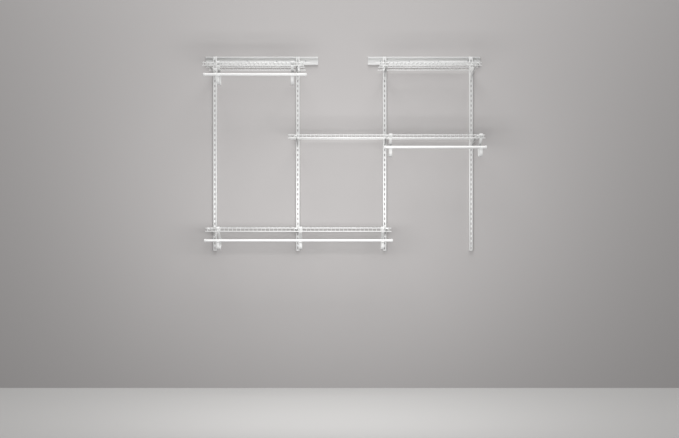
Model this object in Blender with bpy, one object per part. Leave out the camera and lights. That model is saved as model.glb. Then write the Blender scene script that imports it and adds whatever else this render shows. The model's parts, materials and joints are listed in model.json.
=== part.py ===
"""Wall mounted closet system: hang rails, slotted uprights, folded brackets, wire shelves and hang rods.

Two hang rails are screwed to the wall. Four slotted uprights hook into them, ten folded brackets hook
into the uprights, and four wire shelves rest on the brackets. Seven moulded hooks hang from the
shelves' front bars and carry three capped hang rods.

The origin is the centre of the left rail's back face, on the wall. +X runs to the right, +Y into the
wall and +Z up. All sizes are in metres.
"""

import math

import bmesh
import bpy
from mathutils import Vector

# Clearances and cuts
TOUCH_GAP = 0.0003
CUT_OVERRUN = 0.002

# Hang rails: lipped channels, open to the front
RAIL_LENGTH = 0.732
RAIL_HEIGHT = 0.053
RAIL_DEPTH = 0.010
RAIL_SHEET = 0.0015
RAIL_LIP = 0.0095
RAIL_SPACING = 0.324
RAIL_SCREW_COUNT = 4
RAIL_SCREW_INSET = 0.081

# Uprights: slotted channels, open to the wall
UPRIGHT_LENGTH = 1.262
UPRIGHT_WIDTH = 0.026
UPRIGHT_DEPTH = 0.015
UPRIGHT_SHEET = 0.0015
UPRIGHT_CHAMFER = 0.0045
UPRIGHT_1_INSET = 0.061
UPRIGHT_2_INSET = 0.132
UPRIGHT_3_INSET = 0.109
UPRIGHT_4_INSET = 0.061
UPRIGHT_HOOK_DROP = 0.006
UPRIGHT_HOOK_THICKNESS = 0.004
UPRIGHT_HOOK_THROAT = 0.012
SLOT_PITCH = 0.032
SLOT_WIDTH = 0.006
SLOT_HEIGHT = 0.016
SLOT_FIRST = 0.031
SLOT_END_MARGIN = 0.014

# Screws
SCREW_HEAD_RADIUS = 0.004
SCREW_HEAD_HEIGHT = 0.0026
SCREW_SHANK_RADIUS = 0.0021
SCREW_IN_WALL = 0.030
SCREW_POINT = 0.005
SCREW_POINT_SHARE = 0.25
SCREW_CROWN_SHARE = 0.5
SCREW_HOLE_CLEARANCE = 0.0003

# Wire shelves
SHELF_DEPTH = 0.300
SHELF_BACK_CLEARANCE = 0.002
WIRE_RADIUS = 0.0014
WIRE_PITCH = 0.0254
WIRE_END_MARGIN = 0.008
WIRE_BACK_OVERHANG = 0.002
WELD_SINK = 0.0005
BAR_RADIUS = 0.003
FRONT_BAR_SETBACK = 0.012
LIP_HEIGHT = 0.028
MID_BAR_SHARE = 0.6
TOP_SHELF_SLOT = 2
MIDDLE_SHELF_SLOT_SHARE = 0.41
BOTTOM_SHELF_SLOTS_ABOVE_FOOT = 4

# Shelf ends, beyond the outer uprights that carry them
TOP_LEFT_LEFT_OVERHANG = 0.038
TOP_LEFT_RIGHT_OVERHANG = 0.052
TOP_RIGHT_LEFT_OVERHANG = 0.047
TOP_RIGHT_RIGHT_OVERHANG = 0.025
MIDDLE_LEFT_OVERHANG = 0.047
MIDDLE_RIGHT_OVERHANG = 0.045
BOTTOM_LEFT_OVERHANG = 0.018
BOTTOM_RIGHT_OVERHANG = 0.027

# Centre of a gap between deck wires, to the right of the last upright that carries the shelf
TOP_LEFT_GAP_OFFSET = -0.0212
TOP_RIGHT_GAP_OFFSET = -0.0019
MIDDLE_GAP_OFFSET = 0.0197
BOTTOM_GAP_OFFSET = -0.0268

# Brackets: folded sheet, open below, pinched to a double sheet at the heel
BRACKET_SHEET = 0.0016
BRACKET_TIP_WIDTH = 0.014
BRACKET_HEEL_WIDTH = 0.004
BRACKET_HEEL_LENGTH = 0.012
BRACKET_TIP_HEIGHT = 0.009
BRACKET_HEEL_HEIGHT = 0.050
BRACKET_DEEP_RUN = 0.165
BRACKET_HOOK_HEIGHT = 0.010
BRACKET_HOOK_DROP = 0.005
BRACKET_HOOK_THICKNESS = 0.003
BRACKET_HOOK_ROOT = 0.004

# Hang rods and their slip-on caps
ROD_RADIUS = 0.009
ROD_WALL = 0.001
ROD_DROP = 0.082
CAP_RADIUS = 0.011
CAP_LENGTH = 0.012
CAP_END = 0.002
CAP_CHAMFER = 0.0015
TOP_ROD_LEFT_INSET = 0.006
TOP_ROD_RIGHT_OVERHANG = 0.018
MIDDLE_ROD_LEFT_OVERHANG = 0.021
MIDDLE_ROD_RIGHT_OVERHANG = 0.009
BOTTOM_ROD_LEFT_OVERHANG = 0.007
BOTTOM_ROD_RIGHT_OVERHANG = 0.009

# Rod hooks: moulded J straps with a saddle under the rod
HOOK_WIDTH = 0.017
HOOK_THICKNESS = 0.0045
HOOK_CLIP_WIDTH = 0.020
HOOK_CROWN_THICKNESS = 0.0065
HOOK_CLIP_TAIL = 0.003
HOOK_BACK_OFFSET = 0.088
HOOK_BOTTOM_DROP = 0.056
HOOK_CORNER_RADIUS = 0.022
HOOK_SHOULDER_RISE = 0.008
HOOK_SADDLE_THICKNESS = 0.004
HOOK_NEAR_BRACKET = 0.019
HOOK_FAR_FROM_BRACKET = 0.045

ROUND_SIDES = 12
SCREW_SIDES = 8
HEX_SIDES = 6
HOOK_CROWN_STEPS = 4
HOOK_CORNER_STEPS = 3
HOOK_SADDLE_STEPS = 4
CHAMFER_SHARE = math.tan(math.pi / 8)
ROUND_FLAT_SHARE = math.cos(math.pi / ROUND_SIDES)
SMOOTH_BELOW = math.radians(40)

RIGHT = Vector((1, 0, 0))
INWARDS = Vector((0, 1, 0))
UP = Vector((0, 0, 1))

POWDER_WHITE = (0.86, 0.86, 0.85)
MOULDED_WHITE = (0.84, 0.84, 0.83)
ZINC_GREY = (0.62, 0.63, 0.65)


# Places worked out from the sizes above

RAIL_TOP = RAIL_HEIGHT / 2
LEFT_RAIL_X = 0.0
RIGHT_RAIL_X = LEFT_RAIL_X + RAIL_LENGTH + RAIL_SPACING
UPRIGHT_XS = (
    LEFT_RAIL_X - RAIL_LENGTH / 2 + UPRIGHT_1_INSET,
    LEFT_RAIL_X + RAIL_LENGTH / 2 - UPRIGHT_2_INSET,
    RIGHT_RAIL_X - RAIL_LENGTH / 2 + UPRIGHT_3_INSET,
    RIGHT_RAIL_X + RAIL_LENGTH / 2 - UPRIGHT_4_INSET,
)
UPRIGHT_BOTTOM = RAIL_TOP - UPRIGHT_LENGTH
WEB_FRONT = -UPRIGHT_DEPTH
SLOT_COUNT = 1 + math.floor((UPRIGHT_LENGTH - SLOT_FIRST - SLOT_END_MARGIN) / SLOT_PITCH)
MIDDLE_SHELF_SLOT = round(SLOT_COUNT * MIDDLE_SHELF_SLOT_SHARE)
BOTTOM_SHELF_SLOT = SLOT_COUNT - 1 - BOTTOM_SHELF_SLOTS_ABOVE_FOOT

SHELF_BACK = WEB_FRONT - SHELF_BACK_CLEARANCE
SHELF_FRONT = SHELF_BACK - SHELF_DEPTH
BACK_BAR_Y = SHELF_BACK - WIRE_BACK_OVERHANG - BAR_RADIUS
LIP_Y = SHELF_FRONT + BAR_RADIUS
FRONT_BAR_Y = LIP_Y + FRONT_BAR_SETBACK
MID_BAR_Y = FRONT_BAR_Y + MID_BAR_SHARE * (BACK_BAR_Y - FRONT_BAR_Y)
BAR_BELOW_DECK = 2 * WIRE_RADIUS - WELD_SINK + BAR_RADIUS
LIP_BAR_BELOW_DECK = LIP_HEIGHT - BAR_RADIUS
BRACKET_TOP_BELOW_DECK = BAR_BELOW_DECK + BAR_RADIUS + TOUCH_GAP
BRACKET_HOOK_REST = SLOT_HEIGHT / 2 - TOUCH_GAP
HEX_FLAT = BAR_RADIUS * math.cos(math.pi / HEX_SIDES)
BRACKET_TIP_Y = FRONT_BAR_Y - HEX_FLAT - TOUCH_GAP - BRACKET_SHEET
BRACKET_HEEL_Y = WEB_FRONT - TOUCH_GAP
ROD_Y = LIP_Y
SADDLE_RADIUS = ROD_RADIUS * ROUND_FLAT_SHARE + TOUCH_GAP + HOOK_SADDLE_THICKNESS / 2


def slot_z(index):
    """Height of a slot's centre, counted down from the top of the upright."""
    return RAIL_TOP - SLOT_FIRST - index * SLOT_PITCH


def deck_z(slot):
    """Height of a deck whose brackets hook into the slot and the one below it."""
    hook_top = slot_z(slot) - BRACKET_HOOK_REST + BRACKET_HOOK_HEIGHT
    return hook_top + BRACKET_TOP_BELOW_DECK


class Shelf:
    """A wire shelf's run along the wall, its deck height and the uprights whose brackets carry it."""

    def __init__(self, name, slot, carriers, left_overhang, right_overhang, gap_offset):
        self.name = name
        self.slot = slot
        self.carriers = carriers
        self.left = UPRIGHT_XS[carriers[0]] - left_overhang
        self.right = UPRIGHT_XS[carriers[-1]] + right_overhang
        self.deck = deck_z(slot)
        gap = UPRIGHT_XS[carriers[-1]] + gap_offset
        gaps_left = math.floor((gap - self.left - WIRE_END_MARGIN) / WIRE_PITCH - 1 / 2)
        self.first_wire = gap - (gaps_left + 1 / 2) * WIRE_PITCH
        self.wire_count = 1 + math.floor((self.right - WIRE_END_MARGIN - self.first_wire) / WIRE_PITCH)

    def gap_beside(self, upright, side, distance):
        """Centre of the first gap between deck wires at least this far to one side of an upright."""
        reach = (UPRIGHT_XS[upright] + side * distance - self.first_wire) / WIRE_PITCH - 1 / 2
        index = math.ceil(reach) if side > 0 else math.floor(reach)
        return self.first_wire + (index + 1 / 2) * WIRE_PITCH


TOP_LEFT = Shelf(
    "top_left",
    TOP_SHELF_SLOT,
    (0, 1),
    TOP_LEFT_LEFT_OVERHANG,
    TOP_LEFT_RIGHT_OVERHANG,
    TOP_LEFT_GAP_OFFSET,
)
TOP_RIGHT = Shelf(
    "top_right",
    TOP_SHELF_SLOT,
    (2, 3),
    TOP_RIGHT_LEFT_OVERHANG,
    TOP_RIGHT_RIGHT_OVERHANG,
    TOP_RIGHT_GAP_OFFSET,
)
MIDDLE = Shelf(
    "middle",
    MIDDLE_SHELF_SLOT,
    (1, 2, 3),
    MIDDLE_LEFT_OVERHANG,
    MIDDLE_RIGHT_OVERHANG,
    MIDDLE_GAP_OFFSET,
)
BOTTOM = Shelf(
    "bottom",
    BOTTOM_SHELF_SLOT,
    (0, 1, 2),
    BOTTOM_LEFT_OVERHANG,
    BOTTOM_RIGHT_OVERHANG,
    BOTTOM_GAP_OFFSET,
)
SHELVES = (TOP_LEFT, TOP_RIGHT, MIDDLE, BOTTOM)


class Rod:
    """A hang rod under a shelf: its two ends, and its hooks in the gaps beside the brackets."""

    def __init__(self, name, shelf, left, right, hooks):
        self.name = name
        self.shelf = shelf
        self.left = left
        self.right = right
        self.z = shelf.deck - ROD_DROP
        self.hook_xs = [shelf.gap_beside(*hook) for hook in hooks]


RODS = (
    Rod(
        "top_left",
        TOP_LEFT,
        TOP_LEFT.left + TOP_ROD_LEFT_INSET,
        TOP_LEFT.right + TOP_ROD_RIGHT_OVERHANG,
        ((0, 1, HOOK_FAR_FROM_BRACKET), (1, -1, HOOK_NEAR_BRACKET)),
    ),
    Rod(
        "middle",
        MIDDLE,
        UPRIGHT_XS[2] - MIDDLE_ROD_LEFT_OVERHANG,
        MIDDLE.right + MIDDLE_ROD_RIGHT_OVERHANG,
        ((2, 1, HOOK_NEAR_BRACKET), (3, 1, HOOK_NEAR_BRACKET)),
    ),
    Rod(
        "bottom",
        BOTTOM,
        BOTTOM.left - BOTTOM_ROD_LEFT_OVERHANG,
        BOTTOM.right + BOTTOM_ROD_RIGHT_OVERHANG,
        ((0, 1, HOOK_FAR_FROM_BRACKET), (1, 1, HOOK_NEAR_BRACKET), (2, -1, HOOK_NEAR_BRACKET)),
    ),
)


# Shared modelling helpers


def clear_scene():
    for item in list(bpy.data.objects):
        bpy.data.objects.remove(item, do_unlink=True)


def material(name, colour, roughness, metallic):
    made = bpy.data.materials.new(name)
    made.use_nodes = True
    shader = made.node_tree.nodes["Principled BSDF"]
    shader.inputs["Base Color"].default_value = (*colour, 1)
    shader.inputs["Roughness"].default_value = roughness
    shader.inputs["Metallic"].default_value = metallic
    return made


def object_from(name, shape):
    """A scene object from a bmesh, which is used up."""
    mesh = bpy.data.meshes.new(name)
    bmesh.ops.recalc_face_normals(shape, faces=shape.faces)
    shape.to_mesh(mesh)
    shape.free()
    made = bpy.data.objects.new(name, mesh)
    bpy.context.collection.objects.link(made)
    return made


def add_prism(shape, outline, sweep):
    """Add the solid that a flat outline sweeps out."""
    corners = [shape.verts.new(point) for point in outline]
    face = shape.faces.new(corners)
    swept = bmesh.ops.extrude_face_region(shape, geom=[face])["geom"]
    moved = [item for item in swept if isinstance(item, bmesh.types.BMVert)]
    bmesh.ops.translate(shape, verts=moved, vec=sweep)


def add_loft(shape, loops):
    """Add the closed solid that joins a row of corner loops, all with as many corners."""
    rings = [[shape.verts.new(point) for point in loop] for loop in loops]
    for near, far in zip(rings, rings[1:]):
        for corner in range(len(near)):
            after = (corner + 1) % len(near)
            shape.faces.new((near[corner], near[after], far[after], far[corner]))
    shape.faces.new(rings[0])
    shape.faces.new(rings[-1])


def add_box(shape, low, high):
    near_left = (low[0], low[1], low[2])
    near_right = (high[0], low[1], low[2])
    far_right = (high[0], high[1], low[2])
    far_left = (low[0], high[1], low[2])
    add_prism(shape, [near_left, near_right, far_right, far_left], UP * (high[2] - low[2]))


def side_outline(x, points):
    """Place outline points given as (y, z) on a plane across the wall."""
    return [(x, y, z) for y, z in points]


def combine(target, tool, operation):
    """Cut or join the tool into the target for good."""
    modifier = target.modifiers.new(operation.title(), "BOOLEAN")
    modifier.operation = operation
    modifier.solver = "EXACT"
    modifier.object = tool
    bpy.context.view_layer.update()
    graph = bpy.context.evaluated_depsgraph_get()
    result = bpy.data.meshes.new_from_object(target.evaluated_get(graph))
    target.modifiers.remove(modifier)
    target.data = result
    bpy.data.objects.remove(tool, do_unlink=True)


def finish(made, look, smooth=False):
    made.data.materials.clear()
    made.data.materials.append(look)
    if smooth:
        made.data.shade_smooth()
        made.data.set_sharp_from_angle(angle=SMOOTH_BELOW)
    return made


def ring(centre, side_a, side_b, radius, sides):
    """Corners of a regular polygon about a centre, the first of them on side_a."""
    turns = [2 * math.pi * step / sides for step in range(sides)]
    return [centre + (side_a * math.cos(turn) + side_b * math.sin(turn)) * radius for turn in turns]


def turned(name, axis, profile, sides):
    """A solid turned about a level axis: profile points are (distance along the axis, radius)."""
    shape = bmesh.new()
    add_loft(shape, [ring(axis * along, UP, axis.cross(UP), radius, sides) for along, radius in profile])
    return object_from(name, shape)


# Hang rails


def rail_screw_xs(centre):
    first = centre - RAIL_LENGTH / 2 + RAIL_SCREW_INSET
    pitch = (RAIL_LENGTH - 2 * RAIL_SCREW_INSET) / (RAIL_SCREW_COUNT - 1)
    return [first + step * pitch for step in range(RAIL_SCREW_COUNT)]


def make_rail(name, centre, look):
    half = RAIL_HEIGHT / 2
    section = [
        (0, -half),
        (-RAIL_DEPTH, -half),
        (-RAIL_DEPTH, -half + RAIL_LIP),
        (-RAIL_DEPTH + RAIL_SHEET, -half + RAIL_LIP),
        (-RAIL_DEPTH + RAIL_SHEET, -half + RAIL_SHEET),
        (-RAIL_SHEET, -half + RAIL_SHEET),
        (-RAIL_SHEET, half - RAIL_SHEET),
        (-RAIL_DEPTH + RAIL_SHEET, half - RAIL_SHEET),
        (-RAIL_DEPTH + RAIL_SHEET, half - RAIL_LIP),
        (-RAIL_DEPTH, half - RAIL_LIP),
        (-RAIL_DEPTH, half),
        (0, half),
    ]
    shape = bmesh.new()
    add_prism(shape, side_outline(centre - RAIL_LENGTH / 2, section), RIGHT * RAIL_LENGTH)
    rail = object_from(name, shape)
    combine(rail, screw_holes([(x, 0) for x in rail_screw_xs(centre)], -RAIL_SHEET, 0), "DIFFERENCE")
    return finish(rail, look)


def screw_holes(places, near_y, far_y):
    """Round cutters through a sheet, one for each (x, z) place."""
    radius = SCREW_SHANK_RADIUS + SCREW_HOLE_CLEARANCE
    shape = bmesh.new()
    for x, z in places:
        start = Vector((x, near_y - CUT_OVERRUN, z))
        outline = ring(start, UP, RIGHT, radius, SCREW_SIDES)
        add_prism(shape, outline, INWARDS * (far_y - near_y + 2 * CUT_OVERRUN))
    return object_from("screw_holes", shape)


def make_screw(name, x, seat_y, z, look):
    """A pan-head screw whose head seats on a sheet and whose point is in the wall."""
    seat = seat_y - TOUCH_GAP
    head = SCREW_HEAD_HEIGHT
    profile = [
        (seat - head, SCREW_HEAD_RADIUS * SCREW_CROWN_SHARE),
        (seat - head * SCREW_CROWN_SHARE, SCREW_HEAD_RADIUS),
        (seat, SCREW_HEAD_RADIUS),
        (seat, SCREW_SHANK_RADIUS),
        (SCREW_IN_WALL - SCREW_POINT, SCREW_SHANK_RADIUS),
        (SCREW_IN_WALL, SCREW_SHANK_RADIUS * SCREW_POINT_SHARE),
    ]
    screw = turned(name, INWARDS, profile, SCREW_SIDES)
    screw.location = (x, 0, z)
    return finish(screw, look, smooth=True)


# Uprights


def upright_section():
    """Half the channel's section, from the middle of the web round to the wall, as (x, y)."""
    half = UPRIGHT_WIDTH / 2
    sheet = UPRIGHT_SHEET
    slant = sheet * CHAMFER_SHARE
    outer = [
        (half, 0),
        (half, WEB_FRONT + UPRIGHT_CHAMFER),
        (half - UPRIGHT_CHAMFER, WEB_FRONT),
    ]
    inner = [
        (half - UPRIGHT_CHAMFER - slant, WEB_FRONT + sheet),
        (half - sheet, WEB_FRONT + UPRIGHT_CHAMFER + slant),
        (half - sheet, 0),
    ]
    return outer, inner


def upright_top_cutter(x):
    """What is cut from an upright's legs at the rail, leaving a hook that drops behind the lower lip."""
    low = RAIL_TOP - RAIL_HEIGHT - TOUCH_GAP
    high = RAIL_TOP + CUT_OVERRUN
    front = -RAIL_DEPTH - TOUCH_GAP
    lip_edge = RAIL_TOP - RAIL_HEIGHT + RAIL_LIP + TOUCH_GAP
    hook_front = -RAIL_DEPTH + RAIL_SHEET + TOUCH_GAP
    hook_back = hook_front + UPRIGHT_HOOK_THICKNESS
    throat_top = lip_edge + UPRIGHT_HOOK_THROAT
    outline = [
        (CUT_OVERRUN, low),
        (front, low),
        (front, lip_edge),
        (hook_front, lip_edge),
        (hook_front, lip_edge - UPRIGHT_HOOK_DROP),
        (hook_back, lip_edge - UPRIGHT_HOOK_DROP),
        (hook_back, throat_top),
        (front, throat_top),
        (front, high),
        (CUT_OVERRUN, high),
    ]
    start = x - UPRIGHT_WIDTH / 2 - CUT_OVERRUN
    shape = bmesh.new()
    add_prism(shape, side_outline(start, outline), RIGHT * (UPRIGHT_WIDTH + 2 * CUT_OVERRUN))
    return object_from("rail_notch", shape)


def slot_cutters(x):
    shape = bmesh.new()
    near = WEB_FRONT - CUT_OVERRUN
    far = WEB_FRONT + UPRIGHT_SHEET + CUT_OVERRUN
    for index in range(SLOT_COUNT):
        z = slot_z(index)
        low = (x - SLOT_WIDTH / 2, near, z - SLOT_HEIGHT / 2)
        high = (x + SLOT_WIDTH / 2, far, z + SLOT_HEIGHT / 2)
        add_box(shape, low, high)
    return object_from("slots", shape)


def foot_screw_z():
    """The upright's screw goes through the land between its last two slots."""
    return slot_z(SLOT_COUNT - 1) + SLOT_PITCH / 2


def make_upright(name, x, look):
    outer, inner = upright_section()
    outline = [(x - px, py) for px, py in outer] + [(x + px, py) for px, py in reversed(outer)]
    outline += [(x + px, py) for px, py in reversed(inner)] + [(x - px, py) for px, py in inner]
    shape = bmesh.new()
    add_prism(shape, [(px, py, UPRIGHT_BOTTOM) for px, py in outline], UP * UPRIGHT_LENGTH)
    upright = object_from(name, shape)
    combine(upright, upright_top_cutter(x), "DIFFERENCE")
    combine(upright, slot_cutters(x), "DIFFERENCE")
    hole = screw_holes([(x, foot_screw_z())], WEB_FRONT, WEB_FRONT + UPRIGHT_SHEET)
    combine(upright, hole, "DIFFERENCE")
    return finish(upright, look)


# Brackets


def bracket_section(x, y, half_width, top, bottom):
    left = x - half_width
    right = x + half_width
    return [(left, y, top), (right, y, top), (right, y, bottom), (left, y, bottom)]


def bracket_hook_outline(slot):
    """A hook that goes through a slot and drops behind the web, as (y, z)."""
    rest = slot_z(slot) - BRACKET_HOOK_REST
    behind = WEB_FRONT + UPRIGHT_SHEET + TOUCH_GAP
    return [
        (BRACKET_HEEL_Y - BRACKET_HOOK_ROOT, rest),
        (behind, rest),
        (behind, rest - BRACKET_HOOK_DROP),
        (behind + BRACKET_HOOK_THICKNESS, rest - BRACKET_HOOK_DROP),
        (behind + BRACKET_HOOK_THICKNESS, rest + BRACKET_HOOK_HEIGHT / 2),
        (behind, rest + BRACKET_HOOK_HEIGHT - BRACKET_SHEET),
        (BRACKET_HEEL_Y - BRACKET_HOOK_ROOT, rest + BRACKET_HOOK_HEIGHT - BRACKET_SHEET),
    ]


def make_bracket(name, x, shelf, look):
    """A folded arm that deepens over its rear half, its two sides closed to a double sheet at the heel."""
    top = shelf.deck - BRACKET_TOP_BELOW_DECK
    heel_bottom = top - BRACKET_HEEL_HEIGHT
    tip_bottom = top - BRACKET_TIP_HEIGHT
    weld_y = BRACKET_HEEL_Y - BRACKET_HEEL_LENGTH
    knee_y = BRACKET_HEEL_Y - BRACKET_DEEP_RUN
    slope = (heel_bottom - tip_bottom) / BRACKET_DEEP_RUN
    weld_bottom = heel_bottom - slope * BRACKET_HEEL_LENGTH
    tip_half = BRACKET_TIP_WIDTH / 2
    heel_half = BRACKET_HEEL_WIDTH / 2
    taper = (tip_half - heel_half) / (weld_y - BRACKET_TIP_Y)
    knee_half = tip_half - taper * (knee_y - BRACKET_TIP_Y)
    shape = bmesh.new()
    add_loft(
        shape,
        [
            bracket_section(x, BRACKET_TIP_Y, tip_half, top, tip_bottom),
            bracket_section(x, knee_y, knee_half, top, tip_bottom),
            bracket_section(x, weld_y, heel_half, top, weld_bottom),
            bracket_section(x, BRACKET_HEEL_Y, heel_half, top, heel_bottom),
        ],
    )
    bracket = object_from(name, shape)

    front_y = BRACKET_TIP_Y - CUT_OVERRUN
    front_half = tip_half + taper * CUT_OVERRUN - BRACKET_SHEET
    below = CUT_OVERRUN + BRACKET_HEEL_HEIGHT
    hollow = bmesh.new()
    add_loft(
        hollow,
        [
            bracket_section(x, front_y, front_half, top - BRACKET_SHEET, top - below),
            bracket_section(x, weld_y, heel_half - BRACKET_SHEET, top - BRACKET_SHEET, top - below),
        ],
    )
    combine(bracket, object_from("hollow", hollow), "DIFFERENCE")

    extras = bmesh.new()
    hook_half = heel_half - TOUCH_GAP
    for slot in (shelf.slot, shelf.slot + 1):
        outline = side_outline(x - hook_half, bracket_hook_outline(slot))
        add_prism(extras, outline, RIGHT * (2 * hook_half))
    nose_top = shelf.deck - 2 * WIRE_RADIUS - TOUCH_GAP
    nose_half = tip_half - BRACKET_SHEET
    nose_low = (x - nose_half, BRACKET_TIP_Y, top - BRACKET_SHEET / 2)
    nose_high = (x + nose_half, BRACKET_TIP_Y + BRACKET_SHEET, nose_top)
    add_box(extras, nose_low, nose_high)
    combine(bracket, object_from("hooks_and_nose", extras), "UNION")
    return finish(bracket, look)


# Wire shelves


def add_deck_wire(shape, x, deck):
    """One wire from behind the back bar, over the deck and down the lip to the lip bar."""
    centre = deck - WIRE_RADIUS
    lip_bar = deck - LIP_BAR_BELOW_DECK
    add_loft(
        shape,
        [
            [
                (x - WIRE_RADIUS, SHELF_BACK, centre),
                (x, SHELF_BACK, deck),
                (x + WIRE_RADIUS, SHELF_BACK, centre),
                (x, SHELF_BACK, centre - WIRE_RADIUS),
            ],
            [
                (x - WIRE_RADIUS, LIP_Y, centre),
                (x, LIP_Y - WIRE_RADIUS, deck),
                (x + WIRE_RADIUS, LIP_Y, centre),
                (x, LIP_Y + WIRE_RADIUS, centre - WIRE_RADIUS),
            ],
            [
                (x - WIRE_RADIUS, LIP_Y, lip_bar),
                (x, LIP_Y - WIRE_RADIUS, lip_bar),
                (x + WIRE_RADIUS, LIP_Y, lip_bar),
                (x, LIP_Y + WIRE_RADIUS, lip_bar),
            ],
        ],
    )


def add_bar(shape, shelf, y, z, ridge):
    """A bar along the shelf, with a ridge of its six sides turned towards the wires it carries."""
    outline = ring(Vector((shelf.left, y, z)), ridge, RIGHT.cross(ridge), BAR_RADIUS, HEX_SIDES)
    add_prism(shape, outline, RIGHT * (shelf.right - shelf.left))


def make_shelf(name, shelf, look):
    bars = bmesh.new()
    bar_z = shelf.deck - BAR_BELOW_DECK
    for y in (BACK_BAR_Y, MID_BAR_Y, FRONT_BAR_Y):
        add_bar(bars, shelf, y, bar_z, UP)
    add_bar(bars, shelf, LIP_Y, shelf.deck - LIP_BAR_BELOW_DECK, INWARDS)
    made = object_from(name, bars)
    wires = bmesh.new()
    for index in range(shelf.wire_count):
        add_deck_wire(wires, shelf.first_wire + index * WIRE_PITCH, shelf.deck)
    combine(made, object_from("deck_wires", wires), "UNION")
    return finish(made, look)


# Hang rods, caps and hooks


def make_rod(name, rod, look):
    """A steel tube whose ends stop short of the caps' end walls."""
    start = rod.left + CAP_END + TOUCH_GAP
    end = rod.right - CAP_END - TOUCH_GAP
    bore = ROD_RADIUS - ROD_WALL
    outer = [(start, ROD_RADIUS), (end, ROD_RADIUS)]
    inner = [(start - CUT_OVERRUN, bore), (end + CUT_OVERRUN, bore)]
    made = turned(name, RIGHT, outer, ROUND_SIDES)
    cutter = turned("bore", RIGHT, inner, ROUND_SIDES)
    combine(made, cutter, "DIFFERENCE")
    place_along_rod(made, rod)
    return finish(made, look, smooth=True)


def make_cap(name, rod, end_x, inwards, look):
    """A cup that slips over a rod's end."""
    bore = ROD_RADIUS + TOUCH_GAP / ROUND_FLAT_SHARE
    outer = [(0, CAP_RADIUS - CAP_CHAMFER), (CAP_CHAMFER, CAP_RADIUS), (CAP_LENGTH, CAP_RADIUS)]
    inner = [(CAP_END, bore), (CAP_LENGTH + CUT_OVERRUN, bore)]
    made = turned(name, RIGHT, [(end_x + inwards * along, radius) for along, radius in outer], ROUND_SIDES)
    cutter = turned("cup", RIGHT, [(end_x + inwards * along, radius) for along, radius in inner], ROUND_SIDES)
    combine(made, cutter, "DIFFERENCE")
    place_along_rod(made, rod)
    return finish(made, look, smooth=True)


def place_along_rod(made, rod):
    made.location = (0, ROD_Y, rod.z)


def strap_rungs(points, thickness, width):
    """Outer and inner points, with the width, across a strap that follows a centre line of (y, z)."""
    line = [Vector(point) for point in points]
    steps = [(after - before).normalized() for before, after in zip(line, line[1:])]
    rungs = []
    for here, behind, ahead in zip(line, [steps[0]] + steps, steps + [steps[-1]]):
        along = (behind + ahead).normalized()
        across = Vector((-along.y, along.x)) * (thickness / 2 / along.dot(ahead))
        rungs.append((here + across, here - across, width))
    return rungs


def add_strap(shape, x, rungs):
    loops = []
    for outer, inner, width in rungs:
        left = x - width / 2
        right = x + width / 2
        loops.append([(left, *outer), (right, *outer), (right, *inner), (left, *inner)])
    add_loft(shape, loops)


def arc(centre_y, centre_z, radius, start, end, steps):
    """Points on an arc as (y, z), with angles counted from +Y towards +Z."""
    turns = [start + (end - start) * step / steps for step in range(steps + 1)]
    return [(centre_y + radius * math.cos(turn), centre_z + radius * math.sin(turn)) for turn in turns]


def hook_clip_rungs(rod):
    """The clip's mouth in front of the front bar, and its crown over the bar."""
    centre = Vector((FRONT_BAR_Y, rod.shelf.deck - BAR_BELOW_DECK))
    inner_radius = BAR_RADIUS + TOUCH_GAP
    mouth = centre - Vector((inner_radius, HOOK_CLIP_TAIL))
    rungs = [(mouth - Vector((HOOK_THICKNESS, 0)), mouth, HOOK_CLIP_WIDTH)]
    for step in range(HOOK_CROWN_STEPS + 1):
        turn = math.pi * (1 - step / HOOK_CROWN_STEPS)
        outwards = Vector((math.cos(turn), math.sin(turn)))
        depth = HOOK_THICKNESS + (HOOK_CROWN_THICKNESS - HOOK_THICKNESS) * math.sin(turn)
        inner = centre + outwards * inner_radius
        rungs.append((inner + outwards * depth, inner, HOOK_CLIP_WIDTH))
    return rungs


def hook_strap_points(rod, start):
    """The strap's centre line: down behind the lip, back and down, round the bottom and up to the rod."""
    back = ROD_Y + HOOK_BACK_OFFSET
    low = rod.z - HOOK_BOTTOM_DROP + HOOK_THICKNESS / 2 + HOOK_CORNER_RADIUS
    corner = HOOK_CORNER_RADIUS
    quarter = math.pi / 2
    below_lip = rod.shelf.deck - LIP_HEIGHT - HOOK_CLIP_TAIL
    points = [start, (start.x, below_lip), (back, rod.z + HOOK_SHOULDER_RISE)]
    points += arc(back - corner, low, corner, 0, -quarter, HOOK_CORNER_STEPS)
    points += arc(ROD_Y + corner, low, corner, -quarter, -2 * quarter, HOOK_CORNER_STEPS)
    points.append((ROD_Y, rod.z - SADDLE_RADIUS))
    return points


def make_hook(name, x, rod, look):
    rungs = hook_clip_rungs(rod)
    outer, inner, width = rungs[-1]
    points = hook_strap_points(rod, (outer + inner) / 2)
    strap = bmesh.new()
    add_strap(strap, x, rungs + strap_rungs(points, HOOK_THICKNESS, HOOK_WIDTH)[1:])
    made = object_from(name, strap)

    reach = HOOK_SADDLE_STEPS * 2 * math.pi / ROUND_SIDES
    start = -math.pi / 2 - reach / 2
    points = arc(ROD_Y, rod.z, SADDLE_RADIUS / ROUND_FLAT_SHARE, start, start + reach, HOOK_SADDLE_STEPS)
    saddle = bmesh.new()
    add_strap(saddle, x, strap_rungs(points, HOOK_SADDLE_THICKNESS, HOOK_WIDTH + 2 * TOUCH_GAP))
    combine(made, object_from("saddle", saddle), "UNION")
    return finish(made, look)


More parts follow.
